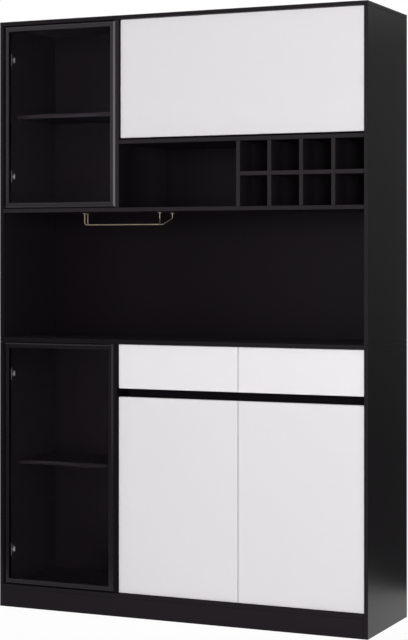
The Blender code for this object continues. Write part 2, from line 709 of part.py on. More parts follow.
def slider_outline():
    """Moving runner: a hat section on the tray, held behind the lips of the channel."""
    sheet = RUNNER_SHEET
    neck = RUNNER_HEIGHT / 2 - RUNNER_LIP - SEAM
    flange = RUNNER_HEIGHT / 2 - sheet - SEAM
    crown = RUNNER_SPACE - SEAM
    foot = RUNNER_CHANNEL - 2 * sheet - SEAM
    return [
        (crown, neck),
        (foot + sheet, neck),
        (foot + sheet, flange),
        (foot, flange),
        (foot, neck - sheet),
        (crown - sheet, neck - sheet),
        (crown - sheet, sheet - neck),
        (foot, sheet - neck),
        (foot, -flange),
        (foot + sheet, -flange),
        (foot + sheet, -neck),
        (crown, -neck),
    ]


def tray_mesh(name, width, depth, height):
    """An open box from its lower front left corner."""
    bm = bmesh.new()
    corners = [(0.0, 0.0), (width, 0.0), (width, depth), (0.0, depth)]
    inset = TRAY_WALL
    hollow = [(inset, inset), (width - inset, inset), (width - inset, depth - inset), (inset, depth - inset)]
    rings = [
        [bm.verts.new((x, y, 0.0)) for x, y in corners],
        [bm.verts.new((x, y, height)) for x, y in corners],
        [bm.verts.new((x, y, height)) for x, y in hollow],
        [bm.verts.new((x, y, TRAY_FLOOR)) for x, y in hollow],
    ]
    bmesh.ops.contextual_create(bm, geom=rings[0])
    for ring, following in zip(rings, rings[1:]):
        for corner in range(4):
            after = (corner + 1) % 4
            bm.faces.new((ring[corner], ring[after], following[after], following[corner]))
    bm.faces.new(rings[-1])
    return mesh_from(bm, name)


def build_drawer(name, wall_left, wall_right, front_x, white, grey, steel):
    """A drawer: white front, tray, and a runner on each side."""
    axis = add_axis(f"{name}_axis", ((front_x[0] + front_x[1]) / 2, FRONT_FACE, DRAWER_BOTTOM))
    add_board(f"{name}_front", front_x, (FRONT_FACE, FRONT_BACK), (DRAWER_BOTTOM, DRAWER_TOP), white,
              FRONT_EASE, parent=axis)
    tray_left = wall_left + RUNNER_SPACE
    tray_right = wall_right - RUNNER_SPACE
    tray_face = FRONT_BACK + SEAM
    tray_bottom = RAIL_TOP + TRAY_LIFT
    depth = RUNNER_START + RUNNER_LENGTH
    mesh = tray_mesh(f"{name}_tray", tray_right - tray_left, depth, TRAY_HEIGHT)
    add_object(f"{name}_tray", mesh, grey, (tray_left, tray_face, tray_bottom), parent=axis)

    channel = outline_mesh("runner_channel", channel_outline(), RUNNER_LENGTH, 'XZ')
    slider = outline_mesh("runner_slider", slider_outline(), RUNNER_LENGTH, 'XZ')
    middle = FRONT_BACK + RUNNER_START + RUNNER_LENGTH / 2
    height = tray_bottom + TRAY_HEIGHT / 2
    for side, wall, turn in (("left", wall_left, 0.0), ("right", wall_right, math.pi)):
        place = (wall, middle, height)
        add_object(f"{name}_{side}_fixed_runner", channel, steel, place, (0.0, 0.0, turn))
        add_object(f"{name}_{side}_sliding_runner", slider, steel, place, (0.0, 0.0, turn), parent=axis)


def main():
    clear_scene()
    black = finish("black_laminate", (0.020, 0.020, 0.022), 0.35)
    back_black = finish("black_back_panel", (0.014, 0.014, 0.015), 0.50)
    white = finish("white_lacquer", (0.84, 0.84, 0.84), 0.25)
    grey = finish("grey_drawer_board", (0.30, 0.30, 0.31), 0.50)
    glass = finish("clear_glass", (0.92, 0.95, 0.94), 0.02, transmission=1.0)
    steel = finish("zinc_steel", (0.62, 0.62, 0.64), 0.30, metallic=1.0)
    dark_steel = finish("black_steel", (0.03, 0.03, 0.03), 0.30, metallic=1.0)
    brass = finish("champagne_wire", (0.52, 0.43, 0.33), 0.30, metallic=1.0)

    build_carcass(black, back_black)
    build_drawer_frame(black)
    build_wine_rack(black)
    build_stemware_rack(brass)

    frame_arm = arm_mesh("frame_hinge_arm", FRAME_ARM_REACH)
    front_arm = arm_mesh("front_hinge_arm", FRONT_ARM_REACH)
    build_glass_door("upper_glass_door", (INNER_LEFT + REVEAL, UPPER_PARTITION_LEFT - REVEAL),
                     (UPPER_FLOOR_TOP + REVEAL, TOP_UNDER - REVEAL), black, glass, steel, frame_arm)
    build_glass_door("lower_glass_door", (INNER_LEFT + REVEAL, LOWER_PARTITION_LEFT - REVEAL),
                     (BASE_TOP + REVEAL, COUNTER_UNDER - REVEAL), black, glass, steel, frame_arm)

    left_x = (LOWER_PARTITION_RIGHT + REVEAL, SPLIT - MEETING_GAP / 2)
    right_x = (SPLIT + MEETING_GAP / 2, INNER_RIGHT - REVEAL)
    build_front_door("left_door", left_x, left_x[0], LOWER_PARTITION_RIGHT, 0.0, white, steel, front_arm)
    build_front_door("right_door", right_x, right_x[1], INNER_RIGHT, math.pi, white, steel, front_arm)
    build_drawer("left_drawer", LOWER_PARTITION_RIGHT, SPLIT - BOARD / 2, left_x, white, grey, steel)
    build_drawer("right_drawer", SPLIT + BOARD / 2, INNER_RIGHT, right_x, white, grey, steel)

    flap_axis = build_flap(white, steel, front_arm)
    build_strut(flap_axis, steel, dark_steel)


main()
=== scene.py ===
import json
import math
from contextlib import contextmanager

import bmesh
import bpy
from mathutils import Matrix, Vector


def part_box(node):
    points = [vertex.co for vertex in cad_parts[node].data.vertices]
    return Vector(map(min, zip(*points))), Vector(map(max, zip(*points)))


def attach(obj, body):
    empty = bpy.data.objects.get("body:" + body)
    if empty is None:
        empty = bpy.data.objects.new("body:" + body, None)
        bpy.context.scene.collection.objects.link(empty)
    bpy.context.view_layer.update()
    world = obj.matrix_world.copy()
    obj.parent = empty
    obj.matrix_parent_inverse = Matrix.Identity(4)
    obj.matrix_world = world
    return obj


bl_info = {
    "name": "Tall Sideboard",
    "version": (1, 0, 0),
    "blender": (4, 5, 0),
    "location": "View3D > Sidebar > Sideboard",
    "description": "Finishes and small fittings of a tall black and white sideboard",
    "category": "Object",
}

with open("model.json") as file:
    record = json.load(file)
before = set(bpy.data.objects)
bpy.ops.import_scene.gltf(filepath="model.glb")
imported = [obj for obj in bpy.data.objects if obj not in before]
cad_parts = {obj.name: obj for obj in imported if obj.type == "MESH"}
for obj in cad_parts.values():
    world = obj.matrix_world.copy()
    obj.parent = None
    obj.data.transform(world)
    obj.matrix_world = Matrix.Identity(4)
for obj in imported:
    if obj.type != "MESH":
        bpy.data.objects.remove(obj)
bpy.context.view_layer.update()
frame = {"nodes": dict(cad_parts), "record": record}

RIGHT = Vector((1.0, 0.0, 0.0))
LEFT = Vector((-1.0, 0.0, 0.0))
BACK = Vector((0.0, 1.0, 0.0))
UP = Vector((0.0, 0.0, 1.0))
DOWN = Vector((0.0, 0.0, -1.0))
QUARTER = math.pi / 2
EIGHTH = math.pi / 4

# Finishes of the CAD nodes, where they differ from those of their slots
SLOT_OF = {entry["node"]: entry["material_slot"] for entry in frame["record"]["subparts"]}
MEMBERS = {
    "upper_board": ("upper_partition", "upper_floor_panel", "flap_floor_panel"),
    "lower_board": ("lower_partition", "drawer_rail", "drawer_divider"),
    "foot_board": ("front_plinth", "base_panel"),
    # The doors and drawer fronts wear lighter copies of the flap's white lacquer, as painted light
    "door_lacquer": ("left_door", "right_door"),
    "drawer_lacquer": ("left_drawer_front", "right_drawer_front"),
}
ENDINGS = {"_display_shelf": "_shelf_board", "_glass_door_frame": "_door_frame", "_back_panel": "_back"}

# Surfaces
WHITE = (1.0, 1.0, 1.0, 1.0)
GREY = (0.5, 0.5, 0.5, 1.0)
PLUM = (1.0, 0.92, 1.0, 1.0)          # the faint tone of the black boards' gloss
BAND_THICKNESS = 0.0008
# Painted sheen: the back panels turn paler towards their left end between these two places
PAINTED_SHEEN_BACK_END = (-0.30, -0.12)        # the back panels' tone changes between these two places across them
# Painted light: boards turn paler towards the back between these two places, lifting the shade deep in the
# recesses
PAINTED_DEPTH_LIGHT_RANGE = (-0.10, 0.05)           # a board's tone changes between these two places towards the back
LAMINATE_SPECULAR = 0.18
MATT_ROUGHNESS = 0.5
MATT_SPECULAR = 0.02
UPPER_FRAME_SPECULAR = 0.60
LOWER_FRAME_SPECULAR = 0.29
ALONG_X = (80.0, 900.0, 900.0)        # how close the lines of drawn metal lie along each axis
ALONG_Y = (900.0, 60.0, 900.0)
NO_GRAIN = (300.0, 300.0, 300.0)
PANE_IOR = 1.07

# Lamps: place, aim, and width and height
KEY_LAMP = ((0.45, -6.0, 1.1), (0.0, 0.0, 0.6), (2.2, 2.0))
SIDE_LAMP = ((3.1, -4.6, 1.3), (0.0, 0.0, 0.8), (1.6, 1.6))
# Cards for reflections: middle, width and height, and stops of (share of the height, brightness)
CARDS = {
    "key_card": ((0.45, -6.0, 1.7), (2.2, 2.0), ((0.0, 5.0), (1.0, 5.0))),
    "side_card": ((2.13, 0.55, 1.1), (3.0, 2.2),
                  ((0.0, 0.03), (0.2, 0.03), (0.5, 0.10), (0.8, 0.16), (0.86, 0.3), (0.92, 0.8))),
    "left_card": ((-2.75, -3.2, 1.3), (3.0, 2.6), ((0.0, 0.16), (0.40, 0.18), (0.55, 0.65), (1.0, 0.65))),
    "low_card": ((-0.885, -0.70, 0.225), (0.83, 0.45), ((0.0, 0.18), (1.0, 0.18))),
    "low_right_card": ((0.12, -0.70, 0.225), (0.26, 0.45), ((0.0, 0.35), (1.0, 0.35))),
    "right_card": ((2.2, -4.3, 1.6), (1.6, 2.2), ((0.0, 0.5), (0.3, 3.4), (0.6, 3.4), (1.0, 2.6))),
}
FLOOR_SIZE = 60.0
FLOOR_DROP = 0.0006                   # air under the cabinet's feet
SENSOR_WIDTH = 36.0

# Places of the fittings, from the boards and arms that carry them
ROUND_ANGLE = math.radians(35.0)      # faces that meet more sharply keep their edge
FACES_UP = 0.9                        # least height of the normal of a face that looks up
FIT = 0.0001                          # air between a fitting and the board it lies on
WING_FACE = 0.0037                    # outer face of a hinge plate's wings
WING_DEPTH = 0.00725                  # middle of the wings behind the arm's front edge
WING_STEP = 0.01475                   # middle of each wing from the arm's middle
ARM_FACE = 0.0127                     # inner face of a hinge arm
ARM_SCREW_DEPTH = 0.0058              # adjusting screw behind the arm's front edge
CLIP_DEPTH = 0.01325                  # middle of a clip behind the arm's front edge
CLIP_LENGTH = 0.0075
CLIP_SLOPE = 0.0008                   # width of the slope round a clip
CLIP_BORDER = 0.0012                  # width of the rim round the dent in a clip
CUP_FROM_PANEL = 0.0222               # middle of a cup from the panel that carries its arm
CUP_PROUD = 0.0002                    # how far a cup's rim stands out of its front
CUP_RIM = 0.0025                      # width of a cup's rim
CUP_STEP = 0.004                      # width of the step round the floor of a cup
CUP_WINGS = (0.052, 0.015)            # length and width of the two wings beside a cup together
CUP_WING_ROUND = 0.003
CUP_SCREW_STEP = 0.0215               # each screw of a cup from the cup's middle
PIN_SETBACK = 0.032                   # shelf pins from the edges of their shelf
NAIL_FROM_END = 0.045
NAIL_SPACING = 0.16
RACK_PLATE = 0.0015
RACK_MOUTH_HALF_GAP = 0.044           # each open end of the rack's wire from its middle
RACK_SCREW_SHIFT = 0.0033             # screws of the two open ends beside their wire
TRAY_WALL = 0.012
FRONT_SCREW_INSET = 0.070             # front screws from the sides of the tray
FRONT_SCREW_LIFT = 0.020              # front screws above and below the middle of the tray
CUP_FRONTS = {"left_door": "left_cupboard_door", "right_door": "right_cupboard_door", "flap": "flap"}
NAILED_BOARDS = {
    "upper": ("upper_floor_panel", "upper_partition", "flap_floor_panel", "upper_display_shelf"),
    "lower": ("lower_partition", "lower_display_shelf"),
}

# Shapes of the fittings: sides of the round ones, and shares of their radius, height or width
SCREW_SIDES = 20
SCREW_SLOPE = 0.30
SCREW_CROWN = 0.25
CROSS_LENGTH = 1.15
CROSS_WIDTH = 0.26
CROSS_MIDDLE = 1.2
NAIL_SIDES = 12
NAIL_SLOPE = 0.35
PIN_SIDES = 20
PIN_SHANK = 0.8
PIN_SHOULDER = 0.12
PIN_TIP = 0.25
CLIP_CROWN = 0.4
CLIP_DENT = 0.5
CUP_SIDES = 40
BOWL_DEPTH = 0.3
BOWL_FOOT = 0.52
STEP_DEPTH = 0.1
BEAD_ROUND = 0.35


def finish_of(node):
    """The finish of a CAD node: boards inside the carcass are matt, with a banded front edge."""
    for finish, members in MEMBERS.items():
        if node in members:
            return finish
    for ending, finish in ENDINGS.items():
        if node.endswith(ending):
            return node.replace(ending, finish)
    if node.startswith("wine_rack"):
        return "rack_board"
    if node.endswith("hinge_arm"):
        return "hinge_steel"
    return SLOT_OF[node]


# Properties

def colour(name, description, default):
    return bpy.props.FloatVectorProperty(name=name, description=description, subtype='COLOR', size=3,
                                         min=0.0, max=1.0, default=default)


def share(name, description, default):
    return bpy.props.FloatProperty(name=name, description=description, subtype='FACTOR', min=0.0, max=1.0,
                                   default=default)


def length(name, description, default):
    return bpy.props.FloatProperty(name=name, description=description, subtype='DISTANCE', unit='LENGTH',
                                   min=0.0, default=default)


def power(name, description, default):
    return bpy.props.FloatProperty(name=name, description=description, unit='POWER', min=0.0,
                                   default=default)


class SideboardFinishes(bpy.types.PropertyGroup):
    laminate: colour("Laminate", "Satin black laminate of the carcass", (0.0140, 0.0118, 0.0140))
    laminate_gloss: share("Laminate Roughness", "Roughness of the black laminate", 0.30)
    carcass_band: colour("Carcass Edge Band", "Front edges of the sides, top and counter",
                         (0.0040, 0.0030, 0.0040))
    inner_face: colour("Inner Faces", "Matt faces of the boards inside", (0.0115, 0.0092, 0.0115))
    # Painted light: the upper inner boards turn paler towards the back
    inner_depth_painted_light: colour("Inner Depths", "The upper inner boards towards the back", (0.031, 0.0245, 0.031))
    cell_face: colour("Cell Faces", "Matt faces of the wine rack's boards", (0.0185, 0.0150, 0.0185))
    # Painted light: the wine rack's boards turn paler towards the back, lifting the shade deep in the cells
    cell_depth_painted_light: colour("Cell Depths", "The wine rack's boards towards the back", (0.066, 0.055, 0.066))
    # Painted light and shade on copies of one black board: paler front edges in the upper cabinet, darker
    # faces and edges in the lower one
    upper_band_painted_light: colour("Upper Edge Band", "Front edges of the upper boards", (0.0245, 0.0210, 0.0245))
    lower_face_painted_shade: colour("Lower Inner Faces", "Matt faces behind the drawers", (0.0075, 0.0058, 0.0075))
    lower_band_painted_shade: colour("Lower Edge Band", "Front edges of the lower boards", (0.0085, 0.0064, 0.0085))
    foot_band: colour("Plinth", "Front of the plinth", (0.0180, 0.0151, 0.0180))
    # Painted light: a paler band for the wine rack and the upper display shelf
    rack_band_painted_light: colour("Rack Edge Band", "Front edges of the wine rack and of the upper display shelf",
                      (0.0280, 0.0240, 0.0280))
    # Painted shade: a darker band for the lower display shelf than for the upper one
    lower_shelf_band_painted_shade: colour("Lower Shelf Edge Band", "Front edge of the lower display shelf",
                       (0.0145, 0.0127, 0.0145))
    door_frame: colour("Door Frame", "Satin black mouldings of the glass doors", (0.0065, 0.0052, 0.0065))
    back: colour("Back Panels", "Black hardboard of the back panels", (0.0036, 0.0022, 0.0036))
    # Painted sheen and light on the back panels: their left ends are paler, and the back of the niche and the
    # wine rack is paler than the back below
    bay_back_left_painted_sheen: colour("Bay Back", "Left end of the back of the open bay", (0.0050, 0.0034, 0.0050))
    high_back_painted_light: colour("High Back", "Back of the niche and of the wine rack", (0.0068, 0.0050, 0.0068))
    high_back_left_painted_light_and_sheen: colour("High Back Left", "Back behind the upper glass door", (0.0086, 0.0066, 0.0086))
    low_back_left_painted_sheen: colour("Low Back Left", "Back behind the lower glass door", (0.0068, 0.0050, 0.0068))
    # Painted light and shade: lit and shaded copies of one white lacquer, darker on the flap and lighter on
    # the doors and drawer fronts
    lacquer: colour("Lacquer", "White lacquer on the flap", (0.785, 0.762, 0.785))
    door_lacquer: colour("Door Lacquer", "White lacquer on the doors", (0.822, 0.799, 0.822))
    drawer_lacquer: colour("Drawer Lacquer", "White lacquer on the drawer fronts", (0.872, 0.849, 0.872))
    drawer_board: colour("Drawer Board", "Board of the drawer trays", (0.30, 0.30, 0.31))
    steel: colour("Steel", "Zinc-plated runners, nails and drawer screws", (0.62, 0.62, 0.64))
    hinge_steel: colour("Hinge Arms", "Dark nickel of the hinge arms", (0.11, 0.11, 0.115))
    bright_steel: colour("Hinge Clips", "Bright nickel of the hinges' clips and screws", (0.90, 0.89, 0.91))
    strut: colour("Strut", "Black paint of the gas strut's tube", (0.02, 0.02, 0.02))
    wire: colour("Wire", "Gold wire of the stemware rack", (0.72, 0.57, 0.42))
    glass_tint: colour("Glass", "Tint of the panes", (0.93, 0.912, 0.93))


class SideboardFittings(bpy.types.PropertyGroup):
    wing_screw: length("Fixing Screws", "Radius of the hinges' fixing screws", 0.0032)
    arm_screw: length("Adjusting Screws", "Radius of the hinges' adjusting screws", 0.0026)
    clip_width: length("Clip Width", "Width of a hinge arm's clip", 0.0145)
    clip_rise: length("Clip Height", "Height of a hinge arm's clip", 0.0006)
    rack_screw: length("Rack Screws", "Radius of the stemware rack's screws", 0.0014)
    screw_rise: length("Screw Height", "Height of a screw's head", 0.0012)
    cup_radius: length("Cup Radius", "Radius of a hinge cup's rim", 0.0175)
    bead_width: length("Bead Width", "Width of the bead that holds a pane", 0.0040)
    bead_depth: length("Bead Depth", "Depth of the bead behind a pane", 0.0060)
    pin_radius: length("Pin Radius", "Radius of a shelf pin", 0.0025)
    pin_length: length("Pin Length", "How far a shelf pin stands out", 0.0080)
    nail_radius: length("Nail Radius", "Radius of a back panel nail's head", 0.0022)
    nail_rise: length("Nail Height", "Height of a back panel nail's head", 0.0008)


class SideboardStudio(bpy.types.PropertyGroup):
    world_level: bpy.props.FloatProperty(name="World Level", description="Light from all round",
                                         min=0.0, default=0.28)
    key_power: power("Key Light", "Power of the large lamp in front", 127.0)
    side_power: power("Side Light", "Power of the lamp at the right front", 67.0)
    floor: colour("Floor", "Colour of the studio floor", (0.97, 0.965, 0.97))
    floor_glow: share("Floor Glow", "Part of the floor's white that takes no shadow", 0.97)
    camera_place: bpy.props.FloatVectorProperty(name="Camera", description="Place of the camera",
                                                subtype='XYZ', size=3, unit='LENGTH',
                                                default=(2.2786, -4.9469, 1.0853))
    camera_turn: bpy.props.FloatProperty(name="Camera Turn", description="Turn of the camera to the left",
                                         subtype='ANGLE', unit='ROTATION', default=0.4224)
    camera_lens: bpy.props.FloatProperty(name="Lens", description="Focal length in mm on a 36 mm side",
                                         min=1.0, default=100.82)
    camera_shift: bpy.props.FloatVectorProperty(name="Shift", description="Framing of the photograph",
                                                size=2, default=(-0.0200, -0.1030))


# Node groups and materials

def opaque(tone):
    """A colour of three numbers as a shader's socket takes it."""
    return (*tone, 1.0)


def add_node(tree, kind, inputs=None, **settings):
    """A new node with its settings; each of its inputs is linked to a socket or set to a value."""
    node = tree.nodes.new(kind)
    for title, value in settings.items():
        setattr(node, title, value)
    for title, value in (inputs or {}).items():
        if isinstance(value, bpy.types.NodeSocket):
            tree.links.new(value, node.inputs[title])
        else:
            node.inputs[title].default_value = value
    return node


def add_math(tree, operation, *values):
    return add_node(tree, 'ShaderNodeMath', dict(enumerate(values)), operation=operation).outputs[0]


def add_noise(tree, place, scale, detail):
    noise = add_node(tree, 'ShaderNodeTexNoise', {'Vector': place, 'Scale': scale, 'Detail': detail})
    return noise.outputs['Fac']


def mix_colours(tree, part, first, second):
    mixer = add_node(tree, 'ShaderNodeMix', {0: part, 6: first, 7: second}, data_type='RGBA')
    return mixer.outputs[2]


def object_place(tree):
    return tree.nodes.new('ShaderNodeTexCoord').outputs['Object']


def new_group(name, inputs, outputs):
    """A shader node group with named sockets, each (name, kind), and for an input its default."""
    group = bpy.data.node_groups.new(name, 'ShaderNodeTree')
    for title, kind, default in inputs:
        socket = group.interface.new_socket(title, in_out='INPUT', socket_type=f"NodeSocket{kind}")
        socket.default_value = default
    for title, kind in outputs:
        group.interface.new_socket(title, in_out='OUTPUT', socket_type=f"NodeSocket{kind}")
    return group, group.nodes.new('NodeGroupInput').outputs


def finish_group(group, results):
    """Link the results to the group's outputs of the same names."""
    add_node(group, 'NodeGroupOutput', results)
    return group


def board_surface_group():
    """Fine press-plate texture and broad, faint clouding, for every coated board."""
    group, given = new_group(
        "board_surface",
        [("Colour", 'Color', GREY), ("Clouding", 'Float', 0.05), ("Roughness", 'Float', 0.4),
         ("Roughness Change", 'Float', 0.05), ("Texture Scale", 'Float', 900.0)],
        [("Colour", 'Color'), ("Roughness", 'Float'), ("Height", 'Float')])
    place = object_place(group)
    clouds = add_math(group, 'SUBTRACT', add_noise(group, place, 2.3, 3.0), 0.5)
    shade = add_math(group, 'MULTIPLY_ADD', clouds, given['Clouding'], 1.0)
    tone = add_node(group, 'ShaderNodeVectorMath', {0: given['Colour'], 'Scale': shade}, operation='SCALE')
    rough = add_math(group, 'MULTIPLY_ADD', clouds, given['Roughness Change'], given['Roughness'])
    return finish_group(group, {'Colour': tone.outputs[0], 'Roughness': rough,
                                'Height': add_noise(group, place, given['Texture Scale'], 2.0)})


def drawn_metal_group():
    """Fine lines along a piece's length and dull spots, for plated and painted metal."""
    group, given = new_group(
        "drawn_metal",
        [("Colour", 'Color', GREY), ("Roughness", 'Float', 0.3), ("Line Scale", 'Vector', NO_GRAIN),
         ("Dulling", 'Float', 0.12)],
        [("Colour", 'Color'), ("Roughness", 'Float'), ("Height", 'Float')])
    place = object_place(group)
    stretch = add_node(group, 'ShaderNodeVectorMath', {0: place, 1: given['Line Scale']},
                       operation='MULTIPLY')
    lines = add_noise(group, stretch.outputs[0], 1.0, 3.0)
    spots = add_math(group, 'SUBTRACT', add_noise(group, place, 120.0, 4.0), 0.5)
    rough = add_math(group, 'MULTIPLY_ADD', spots, given['Dulling'], given['Roughness'])
    shade = add_node(group, 'ShaderNodeMapRange', {'Value': lines, 'To Min': 0.92, 'To Max': 1.04})
    tone = add_node(group, 'ShaderNodeVectorMath', {0: given['Colour'], 'Scale': shade.outputs[0]},
                    operation='SCALE')
    return finish_group(group, {'Colour': tone.outputs[0], 'Roughness': rough, 'Height': lines})


def edge_band_group():
    """Parts the front edge band of a board from its faces, and these towards the back, in metres; the tone
    towards the back is painted light that lifts the shade deep in the recesses.
    """
    group, given = new_group(
        "edge_band",
        [("Face", 'Color', GREY), ("Band", 'Color', GREY), ("Deep", 'Color', GREY),
         ("Band Back", 'Float', 0.0), ("Deep From", 'Float', PAINTED_DEPTH_LIGHT_RANGE[0]),
         ("Deep To", 'Float', PAINTED_DEPTH_LIGHT_RANGE[1])],
        [("Colour", 'Color')])
    depth = add_node(group, 'ShaderNodeSeparateXYZ', {0: object_place(group)}).outputs['Y']
    within_band = add_math(group, 'LESS_THAN', depth, given['Band Back'])
    # Share of the way towards the back, for the painted light deep in the recesses
    painted_depth_light = add_node(group, 'ShaderNodeMapRange', {'Value': depth, 'From Min': given['Deep From'],
                                                  'From Max': given['Deep To']})
    face = mix_colours(group, painted_depth_light.outputs[0], given['Face'], given['Deep'])
    return finish_group(group, {'Colour': mix_colours(group, within_band, face, given['Band'])})


def tone_field_group():
    """A tone that passes from one colour to another along the X axis, in metres, and the height."""
    group, given = new_group(
        "tone_field",
        [("Left", 'Color', GREY), ("Right", 'Color', GREY), ("Left Until", 'Float', 0.0),
         ("Right From", 'Float', 1.0)],
        [("Colour", 'Color'), ("Height", 'Float')])
    parts = add_node(group, 'ShaderNodeSeparateXYZ', {0: object_place(group)}).outputs
    across = add_node(group, 'ShaderNodeMapRange', {'Value': parts['X'], 'From Min': given['Left Until'],
                                                    'From Max': given['Right From']})
    tone = mix_colours(group, across.outputs[0], given['Left'], given['Right'])
    return finish_group(group, {'Colour': tone, 'Height': parts['Z']})


def new_material(name):
    material = bpy.data.materials.new(name)
    material.use_nodes = True
    return material


def feed_shader(material, group, values, relief, specular=0.5, metallic=0.0, sheen_tone=WHITE):
    """Give the material's Principled shader its colour, roughness and relief from a shared group."""
    tree = material.node_tree
    effect = add_node(tree, 'ShaderNodeGroup', values, node_tree=group).outputs
    bump = add_node(tree, 'ShaderNodeBump', {'Strength': 1.0, 'Distance': relief, 'Height': effect['Height']})
    shader = tree.nodes['Principled BSDF'].inputs
    shader['Metallic'].default_value = metallic
    shader['Specular IOR Level'].default_value = specular
    shader['Specular Tint'].default_value = sheen_tone
    tree.links.new(effect['Colour'], shader['Base Color'])
    tree.links.new(effect['Roughness'], shader['Roughness'])
    tree.links.new(bump.outputs['Normal'], shader['Normal'])
    return material


def lacquer_material(name, board, tone):
    """Smooth white lacquer with hardly any clouding."""
    return feed_shader(new_material(name), board,
                       {"Colour": opaque(tone), "Clouding": 0.01, "Roughness": 0.32, "Roughness Change": 0.04,
                        "Texture Scale": 300.0}, relief=0.00001, specular=0.35)


def moulding_material(name, board, tone, specular):
    """Satin black moulding round the panes."""
    return feed_shader(new_material(name), board,
                       {"Colour": opaque(tone), "Clouding": 0.10, "Roughness": 0.20, "Roughness Change": 0.06,
                        "Texture Scale": 1200.0}, relief=0.00002, specular=specular, sheen_tone=PLUM)


def banded_material(name, board, edges, tones, front, rough=MATT_ROUGHNESS, specular=MATT_SPECULAR):
    """A coated board with its tones for the faces, the front edge band and the depth; a paler depth tone is
    painted light towards the back.
    """
    material = new_material(name)
    face, band, painted_depth_light = (opaque(tone) for tone in tones)
    split = add_node(material.node_tree, 'ShaderNodeGroup',
                     {"Face": face, "Band": band, "Deep": painted_depth_light, "Band Back": front + BAND_THICKNESS},
                     node_tree=edges)
    return feed_shader(material, board,
                       {"Colour": split.outputs['Colour'], "Clouding": 0.16, "Roughness": rough,
                        "Roughness Change": 0.10, "Texture Scale": 850.0},
                       relief=0.00004, specular=specular, sheen_tone=PLUM)


def hardboard_material(name, board, field, tones, high_tones, split):
    """Thin hardboard, paler towards its left end as painted sheen; above the split it has a second pair of
    tones, which on the upper back are paler as painted light in the niche and the wine rack.
    """
    material = new_material(name)
    tree = material.node_tree
    low, high = (add_node(tree, 'ShaderNodeGroup',
                          {"Left": opaque(left), "Right": opaque(right), "Left Until": PAINTED_SHEEN_BACK_END[0],
                           "Right From": PAINTED_SHEEN_BACK_END[1]}, node_tree=field).outputs
                 for left, right in (tones, high_tones))
    above = add_math(tree, 'GREATER_THAN', low['Height'], split)
    return feed_shader(material, board,
                       {"Colour": mix_colours(tree, above, low['Colour'], high['Colour']), "Clouding": 0.25,
                        "Roughness": 0.36, "Roughness Change": 0.10, "Texture Scale": 500.0},
                       relief=0.00006, specular=0.10, sheen_tone=PLUM)


def glass_material(name, tint):
    """A thin clear pane with faint smears."""
    material = new_material(name)
    tree = material.node_tree
    shader = tree.nodes['Principled BSDF'].inputs
    shader['Transmission Weight'].default_value = 1.0
    shader['Roughness'].default_value = 0.0
    shader['IOR'].default_value = PANE_IOR
    shader['Specular Tint'].default_value = PLUM
    smears = add_noise(tree, object_place(tree), 9.0, 2.0)
    paler = [min(1.0, part + 0.015) for part in tint]
    tree.links.new(mix_colours(tree, smears, opaque(tint), opaque(paler)), shader['Base Color'])
    return material


